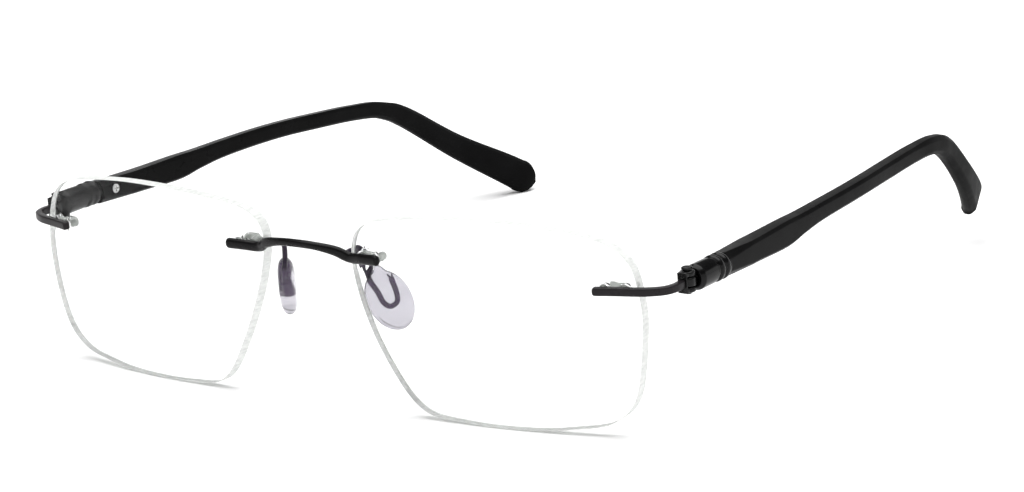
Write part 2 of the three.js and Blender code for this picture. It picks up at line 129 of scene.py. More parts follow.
HINGE = Vector((67, 13, 6.3))
CHEEK_RADIUS = 1.3
CHEEK_THICK = 0.9
KNUCKLE_HEIGHT = 1.5
WEB_HALF_WIDTH = 0.9
SCREW_RADIUS = 0.5
SCREW_BORE = SCREW_RADIUS + 0.06
SCREW_TAIL = 0.35
SCREW_HEAD = {"radius": 0.95, "height": 0.5, "slot_depth": 0.22, "slot_half": 0.14}
TONGUE = {"width": 1.3, "length": 14.2}
SLEEVE = {"start": 1.5, "end": 6.2, "radius": 2.15, "bore": 1.15}
COLLAR = {"start": 6.3, "end": 9.9, "radius": 2.25, "groove": 1.95}
TEMPLE_SCREW = {"y": 13.2, "radius": 0.85, "shank": 0.45, "head": 0.35, "face": -2.42}

# Temple spine from the hinge pin: x, y, z, width, depth.
TEMPLE_SECTIONS = [
    (-0.3, 10.0, -0.1, 3.8, 4.1), (-0.9, 20, -0.3, 3.4, 4.1), (-1.4, 30, -0.45, 3.0, 4.5),
    (-1.7, 36, -0.15, 2.9, 3.7), (-2.1, 43, 0.15, 2.8, 3.2), (-3.0, 57, 0.25, 2.8, 3.0),
    (-4.1, 68, 0.1, 2.8, 3.0), (-4.9, 78, -0.1, 2.8, 3.0), (-5.4, 86, -0.8, 2.9, 3.3),
    (-6.3, 92, -3.4, 3.0, 4.0), (-9.6, 103.5, -12.2, 3.1, 4.9), (-13.9, 113.5, -19.3, 3.2, 6.3),
    (-16.6, 118.5, -23.2, 3.2, 6.8),
]
ADJUST_START = 43
EAR_BEND_Y = 88
TEMPLE_ADJUST = {"left": (1.2, 3.6), "right": (-2.2, -1.3)}
TIP = {"length": 3.2, "thinning": 0.045, "thin_from": 95, "thin_over": 20}

# ---- From the spectacle frame to the row frame ----------------------------------------------

left_fold = next(j for j in frame["joints"] if j["name"] == "left_temple_fold")
FRAME_TILT = math.atan2(-left_fold["axis"][1], left_fold["axis"][2])
TURN = Matrix.Rotation(FRAME_TILT, 4, "X")
PIN_POINT = Vector(left_fold["pos_m"])
ORIGIN = PIN_POINT - (TURN @ (HINGE * MM))
PAD_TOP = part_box("nose_pad_left")[1][2] - MM
TO_ROW = Matrix.Translation(ORIGIN) @ TURN @ Matrix.Scale(MM, 4)


# ---- Curves and sections --------------------------------------------------------------------


def hermite(p, t, centripetal):
    """Catmull-Rom point between p[1] and p[2]."""
    power = 0.5 if centripetal else 0.0
    gaps = [max((p[i + 1] - p[i]).length, 1e-6) ** power for i in range(3)]
    a, b, c = gaps
    m1 = ((p[1] - p[0]) / a - (p[2] - p[0]) / (a + b) + (p[2] - p[1]) / b) * b
    m2 = ((p[2] - p[1]) / b - (p[3] - p[1]) / (b + c) + (p[3] - p[2]) / c) * b
    t2, t3 = t * t, t * t * t
    return (
        p[1] * (2 * t3 - 3 * t2 + 1) + m1 * (t3 - 2 * t2 + t)
        + p[2] * (3 * t2 - 2 * t3) + m2 * (t3 - t2)
    )


def spline(points, per_span, closed=False, centripetal=True):
    """Points of a Catmull-Rom curve through the given ones."""
    pts = [Vector(p) for p in points]
    n = len(pts)
    if not closed:
        pts = [pts[0] * 2 - pts[1], *pts, pts[-1] * 2 - pts[-2]]
    spans = n if closed else n - 1
    out = []
    for i in range(spans):
        four = [pts[(i + k - 1) % n] for k in range(4)] if closed else pts[i:i + 4]
        out += [hermite(four, k / per_span, centripetal) for k in range(per_span)]
    return out if closed else [*out, pts[-2]]


def circle(radius, sides):
    return [
        (radius * math.cos(math.tau * k / sides), radius * math.sin(math.tau * k / sides))
        for k in range(sides)
    ]


def rounded(corners, radii, arc=5):
    """A convex outline with each corner rounded to its own radius, anticlockwise."""
    out = []
    n = len(corners)
    for i, radius in enumerate(radii):
        here = Vector(corners[i])
        to_last = (Vector(corners[i - 1]) - here).normalized()
        to_next = (Vector(corners[(i + 1) % n]) - here).normalized()
        half = to_last.angle(to_next) / 2
        reach = radius / math.tan(half)
        middle = here + (to_last + to_next).normalized() * (radius / math.sin(half))
        start = here + to_last * reach - middle
        sweep = math.pi - 2 * half
        for k in range(arc + 1):
            out.append(tuple(middle + Matrix.Rotation(sweep * k / arc, 2) @ start))
    return out


def inset(outline, distance):
    """Moves a closed anticlockwise 2D outline inwards."""
    n = len(outline)
    out = []
    for i in range(n):
        along = Vector(outline[(i + 1) % n]) - Vector(outline[i - 1])
        inwards = Vector((-along.y, along.x)).normalized()
        out.append(tuple(Vector(outline[i]) + inwards * distance))
    return out


# ---- Meshes ---------------------------------------------------------------------------------


def mesh_of(verts, faces, indices=None):
    """A mesh in millimetres, cleaned and with its faces pointing out."""
    mesh = bpy.data.meshes.new("piece")
    mesh.from_pydata([tuple(v) for v in verts], [], faces)
    if indices:
        mesh.polygons.foreach_set("material_index", indices)
    bm = bmesh.new()
    bm.from_mesh(mesh)
    bmesh.ops.remove_doubles(bm, verts=bm.verts, dist=1e-4)
    bmesh.ops.recalc_face_normals(bm, faces=bm.faces)
    bm.to_mesh(mesh)
    bm.free()
    return mesh


def bridge_rings(rings, closed=False):
    """Skin over rings of equal length, with flat ends unless it closes on itself."""
    sides = len(rings[0])
    verts = [p for ring in rings for p in ring]
    faces = []
    count = len(rings)
    for i in range(count if closed else count - 1):
        a, b = i * sides, ((i + 1) % count) * sides
        for j in range(sides):
            k = (j + 1) % sides
            faces.append((a + j, a + k, b + k, b + j))
    if not closed:
        faces.append(tuple(reversed(range(sides))))
        faces.append(tuple((count - 1) * sides + j for j in range(sides)))
    return mesh_of(verts, faces)


def frames_along(path, up=None):
    """Side and up vectors at each point: carried along the path, or from a fixed up vector."""
    tangents = []
    for i in range(len(path)):
        tangents.append((path[min(i + 1, len(path) - 1)] - path[max(i - 1, 0)]).normalized())
    frames = []
    last = up or tangents[0].orthogonal()
    for t in tangents:
        side = t.cross(up or last).normalized()
        over = side.cross(t).normalized()
        frames.append((side, over))
        last = over
    return tangents, frames


def sweep(path, outline_at, up=None, end_round=0.0, end_steps=8):
    """Runs a 2D outline along a path; end_round rounds both ends off outside the path."""
    tangents, frames = frames_along(path, up)
    rings = []
    last = len(path) - 1

    def ring(i, scale=1.0, shift=0.0):
        side, over = frames[i]
        centre = path[i] + tangents[i] * shift
        return [centre + side * (a * scale) + over * (b * scale) for a, b in outline_at(i / last)]

    angles = [math.pi / 2 * k / end_steps for k in range(1, end_steps)] if end_round else []
    for angle in reversed(angles):
        rings.append(ring(0, math.cos(angle), -end_round * math.sin(angle)))
    rings += [ring(i) for i in range(last + 1)]
    for angle in angles:
        rings.append(ring(last, math.cos(angle), end_round * math.sin(angle)))
    return bridge_rings(rings)


def tube(path, radius, sides):
    """A round wire with ball ends."""
    return sweep(path, lambda t: circle(radius, sides), end_round=radius)


def revolve(profile, sides):
    """Turns a closed profile of (radius, y) round the Y axis."""
    rings = []
    for r, y in profile:
        ring = []
        for k in range(sides):
            a = math.tau * k / sides
            ring.append((r * math.cos(a), y, r * math.sin(a)))
        rings.append(ring)
    return bridge_rings(rings, closed=True)


def plate(outline, z0, z1, bevel, about="Z"):
    """A flat piece with bevelled rims, standing along an axis."""
    steps = 1 if bevel < 0.05 else 4
    turns = [math.pi / 2 * k / steps for k in range(steps + 1)]
    rims = [(inset(outline, bevel * (1 - math.sin(t))), bevel * (1 - math.cos(t))) for t in turns]
    rings = []
    for ring, z in [(r, z0 + d) for r, d in rims] + [(r, z1 - d) for r, d in reversed(rims)]:
        if about == "Z":
            rings.append([(x, y, z) for x, y in ring])
        elif about == "Y":
            rings.append([(x, z, y) for x, y in ring])
        else:
            rings.append([(z, x, y) for x, y in ring])
    return bridge_rings(rings)


def rod(radius, start, end, bevel, about="Z", sides=48):
    return plate(circle(radius, sides), start, end, bevel, about)


def rect(x0, x1, y0, y1, radius, arc=4):
    return rounded([(x0, y0), (x1, y0), (x1, y1), (x0, y1)], [radius] * 4, arc)


def combine(first, others, operation):
    """Boolean of meshes in millimetres, done by the modifier and read back as a mesh."""
    base = bpy.data.objects.new("base", first)
    bpy.context.scene.collection.objects.link(base)
    tools = []
    for mesh in others:
        tool = bpy.data.objects.new("tool", mesh)
        bpy.context.scene.collection.objects.link(tool)
        modifier = base.modifiers.new("cut", "BOOLEAN")
        modifier.operation = operation
        modifier.solver = "EXACT"
        modifier.object = tool
        tools.append(tool)
    graph = bpy.context.evaluated_depsgraph_get()
    made = bpy.data.meshes.new_from_object(base.evaluated_get(graph))
    for o in [base, *tools]:
        bpy.data.objects.remove(o)
    return made


def union(first, *others):
    return combine(first, others, "UNION")


def cut(first, *others):
    return combine(first, others, "DIFFERENCE")


def moved(mesh, matrix):
    mesh.transform(matrix)
    return mesh


# ---- Pieces in the row frame ----------------------------------------------------------------

LENS_TO_SPECTACLES = Matrix.Translation((LENS_X, 0, 0)) @ Matrix.Rotation(LENS_WRAP, 4, "Z")
PIN_TO_SPECTACLES = Matrix.Translation(HINGE)
STRAIGHT = Matrix.Identity(4)
SHARP_ANGLE = math.radians(35)


def add_piece(node, mesh, place, sign, materials):
    """Puts a +X side mesh in the row frame, mirrors it for the -X side and stands it for its node."""
    if not mesh.polygons:
        raise ValueError(f"{node} came out empty")
    mesh = mesh.copy()
    mesh.transform(place)
    if sign < 0:
        mesh.transform(Matrix.Scale(-1, 4, (1, 0, 0)))
        mesh.flip_normals()
    mesh.transform(TO_ROW)
    for material in materials:
        mesh.materials.append(material)
    mesh.shade_smooth()
    mesh.set_sharp_from_angle(angle=SHARP_ANGLE)
    piece = bpy.data.objects.new(f"{node}_shape", mesh)
    bpy.context.scene.collection.objects.link(piece)
    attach(piece, frame["nodes"][node]["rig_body"])
    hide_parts(node)


# ---- Materials ------------------------------------------------------------------------------


class Nodes:
    """A short way to write a node tree."""

    def __init__(self, name):
        self.material = bpy.data.materials.new(name)
        self.material.use_nodes = True
        self.tree = self.material.node_tree
        self.shader = self.tree.nodes["Principled BSDF"]
        self.coords = self.tree.nodes.new("ShaderNodeTexCoord").outputs["Object"]

    def set(self, **values):
        for name, value in values.items():
            self.shader.inputs[name.replace("_", " ").title().replace("Ior", "IOR")].default_value = value

    def link(self, output, name):
        self.tree.links.new(output, self.shader.inputs[name])

    def along(self, axis):
        """One object coordinate, in metres."""
        node = self.tree.nodes.new("ShaderNodeSeparateXYZ")
        self.tree.links.new(self.coords, node.inputs["Vector"])
        return node.outputs[axis]

    def stretched(self, scale, turn=(0, 0, 0)):
        """Object coordinates scaled differently along each axis."""
        node = self.tree.nodes.new("ShaderNodeMapping")
        node.inputs["Scale"].default_value = scale
        node.inputs["Rotation"].default_value = turn
        self.tree.links.new(self.coords, node.inputs["Vector"])
        return node.outputs["Vector"]

    def noise(self, scale, detail=3.0, rough=0.5, coords=None):
        node = self.tree.nodes.new("ShaderNodeTexNoise")
        node.inputs["Scale"].default_value = scale
        node.inputs["Detail"].default_value = detail
        node.inputs["Roughness"].default_value = rough
        self.tree.links.new(coords or self.coords, node.inputs["Vector"])
        return node.outputs["Fac"]

    def to_range(self, value, low, high, start=0.3, end=0.7):
        node = self.tree.nodes.new("ShaderNodeMapRange")
        node.inputs["From Min"].default_value = start
        node.inputs["From Max"].default_value = end
        node.inputs["To Min"].default_value = low
        node.inputs["To Max"].default_value = high
        self.tree.links.new(value, node.inputs["Value"])
        return node.outputs["Result"]

    def mix_colors(self, value, low, high, start=0.3, end=0.7):
        node = self.tree.nodes.new("ShaderNodeValToRGB")
        first, second = node.color_ramp.elements
        first.position, second.position = start, end
        first.color, second.color = (*low, 1), (*high, 1)
        self.tree.links.new(value, node.inputs["Fac"])
        return node.outputs["Color"]

    def sum(self, a, b):
        node = self.tree.nodes.new("ShaderNodeMath")
        self.tree.links.new(a, node.inputs[0])
        self.tree.links.new(b, node.inputs[1])
        return node.outputs["Value"]

    def bump(self, height, distance):
        node = self.tree.nodes.new("ShaderNodeBump")
        node.inputs["Distance"].default_value = distance
        node.inputs["Strength"].default_value = 1.0
        self.tree.links.new(height, node.inputs["Height"])
        self.link(node.outputs["Normal"], "Normal")


def coated(name, low, high, rough, grain, depth, **more):
    """Opaque coating: colour and gloss drift slowly, and a fine grain roughens it."""
    n = Nodes(name)
    n.link(n.mix_colors(n.noise(260, 4), low, high), "Base Color")
    drift = n.sum(n.noise(700, 5), n.noise(90, 2))
    n.link(n.to_range(drift, *rough, start=0.7, end=1.3), "Roughness")
    n.bump(n.noise(grain, 4, 0.6), depth)
    n.set(**more)
    return n.material


def clear_lens():
    """Clear lens. The index is far below real lens plastic's, so little behind it is whitened."""
    n = Nodes("clear_lens")
    n.set(base_color=(0.985, 0.99, 0.99, 1), transmission_weight=1.0, ior=1.12)
    n.link(n.to_range(n.noise(120, 5), 0.0, 0.012), "Roughness")
    return n.material


def ground_edge():
    """Fine-ground lens edge: matt, pale, with marks of the wheel across it."""
    n = Nodes("ground_edge")
    marks = n.noise(2600, 4, 0.6, n.stretched((1, 0.22, 1)))
    n.link(n.mix_colors(marks, (0.5, 0.515, 0.5), (0.74, 0.755, 0.735)), "Base Color")
    n.link(n.to_range(n.noise(1400, 3), 0.3, 0.5), "Roughness")
    n.bump(marks, 1.5e-5)
    n.set(transmission_weight=0.35, ior=1.3, specular_ior_level=0.3)
    return n.material


def clear_plug():
    n = Nodes("clear_plug")
    n.link(n.mix_colors(n.noise(900, 4), (0.5, 0.525, 0.5), (0.8, 0.82, 0.79)), "Base Color")
    n.link(n.to_range(n.noise(1500, 3), 0.02, 0.1), "Roughness")
    n.bump(n.noise(1200, 2), 1e-5)
    n.set(transmission_weight=0.5, ior=1.33, specular_ior_level=0.4)
    return n.material


def pad_silicone():
    n = Nodes("pad_silicone")
    n.link(n.mix_colors(n.noise(320, 4), (0.5, 0.485, 0.53), (0.58, 0.565, 0.61)), "Base Color")
    n.link(n.to_range(n.noise(800, 4), 0.1, 0.2), "Roughness")
    n.bump(n.noise(500, 3), 1.2e-5)
    n.set(transmission_weight=0.88, ior=1.25, specular_ior_level=0.3)
    return n.material


def turned_steel():
    n = Nodes("turned_steel")
    n.link(n.mix_colors(n.noise(900, 4), (0.34, 0.34, 0.34), (0.58, 0.58, 0.57)), "Base Color")
    n.link(n.to_range(n.noise(2500, 3), 0.16, 0.34), "Roughness")
    n.bump(n.noise(2200, 3, 0.5, n.stretched((4, 1, 1))), 8e-6)
    n.set(metallic=1.0)
    return n.material


def satin_temple():
    """Moulded temple: satin black with a soft, slightly stippled skin."""
    n = Nodes("satin_temple")
    black, grey = (0.0030, 0.0030, 0.0031), (0.0052, 0.0052, 0.0053)
    n.link(n.mix_colors(n.noise(180, 5), black, grey), "Base Color")
    grain = n.to_range(n.sum(n.noise(500, 5), n.noise(60, 2)), 0.26, 0.38, 0.7, 1.3)
    matt_tip = n.to_range(n.along("Y"), 0.0, 0.22, 0.018, 0.045)
    n.link(n.sum(grain, matt_tip), "Roughness")
    n.bump(n.noise(3800, 3, 0.55), 1.1e-5)
    n.set(specular_ior_level=0.026)
    return n.material


def pad_wire():
    """Pad arm: violet inside the pad, nearly black above it."""
    n = Nodes("pad_wire")
    violet = n.mix_colors(n.noise(400, 4), (0.045, 0.013, 0.068), (0.078, 0.028, 0.112))
    black = n.mix_colors(n.noise(400, 4), (0.012, 0.0065, 0.017), (0.02, 0.012, 0.028))
    blend = n.tree.nodes.new("ShaderNodeMixRGB")
    above = n.to_range(n.along("Z"), 0.0, 1.0, PAD_TOP - MM, PAD_TOP)
    n.tree.links.new(above, blend.inputs["Fac"])
    n.tree.links.new(violet, blend.inputs["Color1"])
    n.tree.links.new(black, blend.inputs["Color2"])
    n.link(blend.outputs["Color"], "Base Color")
    n.link(n.to_range(n.noise(900, 3), 0.22, 0.36), "Roughness")
    n.bump(n.noise(2600, 3), 1e-5)
    n.set(specular_ior_level=0.2)
    return n.material


CLEAR_LENS = clear_lens()
GROUND_EDGE = ground_edge()
CLEAR_PLUG = clear_plug()
SILICONE = pad_silicone()
STEEL = turned_steel()
SATIN_TEMPLE = satin_temple()
BLACK_WIRE = coated(
    "black_wire", (0.003, 0.003, 0.003), (0.006, 0.0055, 0.006), (0.2, 0.34), 2600, 1.2e-5,
    specular_ior_level=0.13,
)
END_COAT = coated(
    "endpiece_coat", (0.009, 0.0075, 0.0085), (0.015, 0.0125, 0.0142), (0.26, 0.4), 2600, 1.2e-5,
    specular_ior_level=0.15,
)
PAD_WIRE = pad_wire()
HINGE_COAT = coated(
    "hinge_coat", (0.003, 0.003, 0.003), (0.006, 0.006, 0.006), (0.2, 0.32), 1800, 1.5e-5,
    specular_ior_level=0.2,
)
GLOSS_SLEEVE = coated(
    "gloss_sleeve", (0.002, 0.002, 0.0021), (0.004, 0.004, 0.0042), (0.12, 0.2), 900, 6e-6,
    specular_ior_level=0.17,
)

# ---- Lens and plugs -------------------------------------------------------------------------


def sag(u, v):
    """Depth of the lens front behind its vertex."""
    return LENS_RADIUS - math.sqrt(LENS_RADIUS ** 2 - u * u - v * v)


def on_lens_front(u, v, stand):
    """A point at a distance in front of the lens, in the spectacle frame."""
    return LENS_TO_SPECTACLES @ Vector((u, sag(u, v) - stand, v))


def face_points(loops, spacing):
    """Delaunay fill of an outline with holes: 2D points and triangles."""
    points, edges = [], []
    for loop in loops:
        base = len(points)
        n = len(loop)
        points += [Vector(p) for p in loop]
        edges += [(base + i, base + (i + 1) % n) for i in range(n)]
    rim = list(points)
    us = [p.x for p in points]
    vs = [p.y for p in points]
    row_step = spacing * 0.866
    rows = int((max(vs) - min(vs)) / row_step) + 1
    for j in range(rows):
        v = min(vs) + j * row_step
        u = min(us) + (j % 2) * spacing / 2
        while u < max(us):
            if min((Vector((u, v)) - p).length for p in rim) > spacing * 0.6:
                points.append(Vector((u, v)))
            u += spacing
    found, _, faces, *_ = delaunay_2d_cdt(points, edges, [], 1, 1e-5)
    centres = [(sum((Vector(p) for p in loop), Vector((0, 0))) / len(loop)) for loop in loops[1:]]
    keep = []
    for face in faces:
        middle = sum((found[i] for i in face), Vector((0, 0))) / len(face)
        if all((middle - c).length > HOLE_RADIUS for c in centres):
            keep.append(tuple(face))
    return found, keep


def lens_mesh():
    """Meniscus with bevelled rims. Faces of the ground edge take material 1, the others 0."""
    outline = [(p.x, p.y) for p in spline(LENS_OUTLINE, 14, closed=True, centripetal=False)]
    holes = []
    for hole in (BRIDGE_HOLES, END_HOLES):
        for u in hole["u"]:
            holes.append([(u + x, hole["v"] + y) for x, y in circle(HOLE_RADIUS, 40)])
    faces_of = [inset(outline, EDGE_BEVEL)] + [inset(h, -EDGE_BEVEL * 0.6) for h in holes]
    points, triangles = face_points(faces_of, 1.7)
    verts, faces, indices = [], [], []
    for depth in (0.0, LENS_THICK):
        base = len(verts)
        verts += [(p.x, sag(p.x, p.y) + depth, p.y) for p in points]
        faces += [tuple(base + i for i in face) for face in triangles]
        indices += [0] * len(triangles)
    for full, small in zip([outline, *holes], faces_of):
        depths = [
            (small, 0.0), (full, EDGE_BEVEL), (full, LENS_THICK / 2),
            (full, LENS_THICK - EDGE_BEVEL), (small, LENS_THICK),
        ]
        n = len(full)
        base = len(verts)
        for loop, depth in depths:
            verts += [(u, sag(u, v) + depth, v) for u, v in loop]
        for row in range(len(depths) - 1):
            for i in range(n):
                k = (i + 1) % n
                a, b = base + row * n, base + (row + 1) * n
                faces.append((a + i, a + k, b + k, b + i))
                indices.append(1 if full is outline else 0)
    return mesh_of(verts, faces, indices)


def barrel_mesh(u, v, front, tail):
    wall = rounded(
        [(BARREL_BORE, front), (BARREL_RADIUS, front), (BARREL_RADIUS, tail), (BARREL_BORE, tail)],
        [0.06, 0.1, 0.12, 0.06], 4,
    )
    return moved(revolve(wall, 48), Matrix.Translation((u, 0, v)))


def plug_mesh(holes):
    """Two barrels on a rounded foot plate behind the lens."""
    (u0, u1), v = holes["u"], holes["v"]
    reach = BARREL_RADIUS + FOOT_MARGIN
    half = (u1 - u0) / 2
    back = LENS_THICK + GAP + PLUG_RELIEF
    outline = rect(-half - reach, half + reach, -reach, reach, reach - 0.01, 12)
    foot = plate(outline, back, back + FOOT_THICK, 0.12, "Y")
    tail = back + FOOT_THICK + PLUG_RELIEF
    bores = [
        moved(rod(BARREL_BORE + 0.02, -6, 12, 0.01, "Y", 32), Matrix.Translation((u, 0, 0)))
        for u in (-half, half)
    ]
    barrels = [barrel_mesh(u, 0.0, 0.2, tail) for u in (-half, half)]
    plug = union(cut(foot, *bores), *barrels)
    slope = math.atan2(sag(u1, v) - sag(u0, v), u1 - u0)
    middle = Vector(((u0 + u1) / 2, (sag(u0, v) + sag(u1, v)) / 2, v))
    return moved(plug, Matrix.Translation(middle) @ Matrix.Rotation(slope, 4, "Z"))


def pin_meshes(holes):
    """Mounting pins through the lens, with bevelled ends that stand out behind the plug."""
    pins = []
    v = holes["v"]
    for u in holes["u"]:
        front = sag(u, v) - PIN_FRONT
        pin = rod(PIN_RADIUS, front, sag(u, v) + LENS_THICK + PIN_STICK, 0.12, "Y", 32)
        pins.append(moved(moved(pin, Matrix.Translation((u, 0, v))), LENS_TO_SPECTACLES))
    return pins


# ---- Bridge, pad arms, pads, endpieces ------------------------------------------------------


def mirrored(mesh):
    twin = mesh.copy()
    twin.transform(Matrix.Scale(-1, 4, (1, 0, 0)))
    twin.flip_normals()
    return twin


def bridge_mesh():
    stand = BRIDGE_WIRE / 2 + GAP
    half = [on_lens_front(*p, stand) for p in (BRIDGE_END, BRIDGE_MID, BRIDGE_KINK)]
    half += [Vector(p) for p in BRIDGE_ARCH]
    other = [Vector((-p.x, p.y, p.z)) for p in reversed(half)]
    path = spline([*half, BRIDGE_CROWN, *other], 14)

    def oval(t):
        x = abs(path[round(t * (len(path) - 1))].x)
        flare = min(1.0, max(0.0, (x - BRIDGE_FLARE[0]) / (BRIDGE_FLARE[1] - BRIDGE_FLARE[0])))
        flare = flare * flare * (3 - 2 * flare)
        crown, ends = BRIDGE_HEIGHT["crown"], BRIDGE_HEIGHT["ends"]
        height = crown + (ends - crown) * flare
        return [(a * BRIDGE_WIRE, b * height) for a, b in circle(0.5, 36)]

    wire = sweep(path, oval, up=Vector((0, 0, 1)), end_round=BRIDGE_WIRE / 2)
    pins = pin_meshes(BRIDGE_HOLES)
    return union(wire, *pins, *[mirrored(p) for p in pins])


def in_pad(along, up):
    chord = Vector((math.cos(PAD_SPLAY), math.sin(PAD_SPLAY), 0))
    return PAD_CENTRE + chord * along + Vector((0, 0, up))


def arm_route():
    return [Vector(p) for p in ARM_ROUTE] + [in_pad(*p) for p in PAD_HOOK]


def pad_arm_mesh():
    """Arm wire with the U of its end, which is split into two short prongs."""
    path = spline(arm_route(), 12)
    wire = tube(path, ARM_WIRE / 2, 24)
    end = path[-1]
    onward = (path[-1] - path[-3]).normalized()
    across = Vector((math.cos(PAD_SPLAY), math.sin(PAD_SPLAY), 0))
    prongs = []
    for way in (-1, 1):
        tip = end + onward * PRONG["length"] + across * (PRONG["spread"] * way)
        middle = end + onward * 0.3 + across * (PRONG["spread"] / 2 * way)
        prongs.append(tube(spline([end - onward * 0.3, middle, tip], 6), PRONG["radius"], 16))
    return union(wire, *prongs)


def nose_pad_mesh():
    """Silicone pad: an ellipsoid with both faces flattened alike and the rim kept round."""
    half_width, half_length, half_thick = PAD_SIZE
    rings = []
    rows, sides = 28, 72
    for i in range(1, rows):
        t = math.pi * i / rows
        reach = math.sin(t) ** PAD_FLATNESS
        thick = half_thick * math.cos(t)
        ring = []
        for k in range(sides):
            a = math.tau * k / sides
            c, s = math.cos(a), math.sin(a)
            ring.append((half_width * reach * c, half_length * reach * s, -thick))
        rings.append(ring)
    mesh = bridge_rings(rings)
    turn = Matrix.Rotation(PAD_SPLAY, 4, "Z") @ Matrix.Rotation(math.pi / 2, 4, "X")
    return moved(mesh, Matrix.Translation(PAD_CENTRE) @ turn @ Matrix.Rotation(PAD_LEAN, 4, "Z"))


def endpiece_mesh():
    """Flat bar with rounded edges that turns back to the hinge."""
    stand = BAR_THICK / 2 + GAP
    start = on_lens_front(*BAR_START, stand)
    end = on_lens_front(*BAR_END, stand)
    v = BAR_START[1]
    route = [
        start, start.lerp(end, 0.5), end, (66.3, 7.4, v), (HINGE.x, 9.2, v),
        (HINGE.x, HINGE.y - CHEEK_RADIUS - 0.4, v),
    ]
    a, b = BAR_THICK / 2, BAR_HEIGHT / 2
    outline = rect(-a, a, -b, b, 0.28, 5)
    path = spline(route, 14)
    bar = sweep(path[1:], lambda t: outline, up=Vector((0, 0, 1)), end_round=0.5, end_steps=7)
    return union(bar, *pin_meshes(END_HOLES))


# ---- Hinge ----------------------------------------------------------------------------------

CHEEK_INNER = KNUCKLE_HEIGHT / 2 + GAP
CHEEK_OUTER = CHEEK_INNER + CHEEK_THICK


def fork_mesh():
    """Two rounded cheeks joined by a web in front of the knuckle."""
    root = -CHEEK_RADIUS - 0.3
    w = WEB_HALF_WIDTH
    cheeks = []
    for z0 in (CHEEK_INNER, -CHEEK_OUTER):
        disc = rod(CHEEK_RADIUS, z0, z0 + CHEEK_THICK, 0.36)
        foot = plate(rect(-w, w, root, 0.2, 0.3), z0, z0 + CHEEK_THICK, 0.28)
        cheeks += [disc, foot]
    half = CHEEK_OUTER - 0.1
    web = plate(rect(-w, w, root, -CHEEK_RADIUS - 0.06, 0.1), -half, half, 0.06)
    hole = rod(SCREW_BORE, -5, 5, 0.01, sides=32)
    return cut(union(web, *cheeks), hole)


def hinge_screw_mesh():
    """Slotted screw. The head's bevel has to stay below half its height, or nothing is left."""
    top = CHEEK_OUTER + GAP
    shank = rod(SCREW_RADIUS, -CHEEK_OUTER - SCREW_TAIL, top + 0.1, 0.08, sides=32)
    height = SCREW_HEAD["height"]
    head = rod(SCREW_HEAD["radius"], top, top + height, 0.2)
    side = SCREW_HEAD["slot_half"]
    floor = top + height - SCREW_HEAD["slot_depth"]
    slot = plate(rect(-2, 2, -side, side, 0.02), floor, top + 2, 0.01)
    return cut(union(head, shank), slot)


def knuckle_mesh():
    half = KNUCKLE_HEIGHT / 2
    barrel = rod(CHEEK_RADIUS, -half, half, 0.3)
    w = TONGUE["width"] / 2
    tongue = plate(rect(-w, w, 0, TONGUE["length"], 0.2), -half, half, 0.1)
    bore = rod(SCREW_BORE, -5, 5, 0.01, sides=32)
    return cut(union(barrel, tongue), bore)


def sleeve_mesh():
    """Glossy ferrule, turned in at the front."""
    s0, s1, r, bore = (SLEEVE[k] for k in ("start", "end", "radius", "bore"))
    corners = [
        (bore, s0), (r - 0.5, s0), (r, s0 + 0.6), (r + 0.01, s1 - 1.6), (r, s1 - 0.28),
        (r - 0.14, s1), (bore, s1),
    ]
    return revolve(rounded(corners, [0.05, 0.3, 0.5, 1.0, 0.12, 0.05, 0.05], 6), 96)


def collar_mesh():
    """Ring with two raised bands between grooves."""
    c0, c1, r, groove = (COLLAR[k] for k in ("start", "end", "radius", "groove"))
    bands = 2
    floor = 0.4
    band = (c1 - c0 - floor * (bands + 1)) / bands
    profile = [(SLEEVE["bore"], c0), (groove, c0)]
    y = c0
    for _ in range(bands):
        y += floor
        profile.append((groove, y))
        for k in range(9):
            swell = math.sin(math.pi * k / 8)
            profile.append((groove + (r - groove) * min(1.0, swell ** 0.45), y + band * k / 8 + 1e-3))
        y += band + 2e-3
        profile.append((groove, y))
    profile += [(groove, c1), (SLEEVE["bore"], c1)]
    return revolve(profile, 96)


# ---- Temple ---------------------------------------------------------------------------------


def adjusted_by(y, side):
    bend, tip = TEMPLE_ADJUST[side]
    if y < EAR_BEND_Y:
        return bend * max(0.0, (y - ADJUST_START) / (EAR_BEND_Y - ADJUST_START)) ** 2
    tip_y = TEMPLE_SECTIONS[-1][1]
    return bend + (tip - bend) * (y - EAR_BEND_Y) / (tip_y - EAR_BEND_Y)


def temple_outline(width, depth, y):
    """Section of the temple: a blade with a flat, slightly sloping top that turns oval at the tip."""
    a, b = width / 2, depth / 2
    soft = min(1.0, max(0.0, (y - 76) / 22))
    near = min(1.0, max(0.0, (y - 11) / 7))
    chamfer = 0.5 + 0.5 * (1 - near) + 0.45 * soft
    slope = 0.12 * near * (1 - soft)
    corners = [
        (a, -b + chamfer), (a, b - chamfer - slope), (a - chamfer, b - slope),
        (-a + chamfer, b), (-a, b - chamfer), (-a, -b + chamfer), (-a + chamfer, -b),
        (a - chamfer, -b),
    ]
    radius = 0.1 + 0.75 * soft + 0.3 * (1 - near)
    low = 0.35 + 0.55 * soft + 0.2 * (1 - near)
    return rounded(corners, [low, radius, radius, radius, radius, low, low, low], 4)


def temple_frame(path, i):
    """Direction along the temple at a station, and the up vector square to it."""
    along = path[min(i + 1, len(path) - 1)] - path[max(i - 1, 0)]
    return along.normalized(), Vector((0, -along.z, along.y)).normalized()


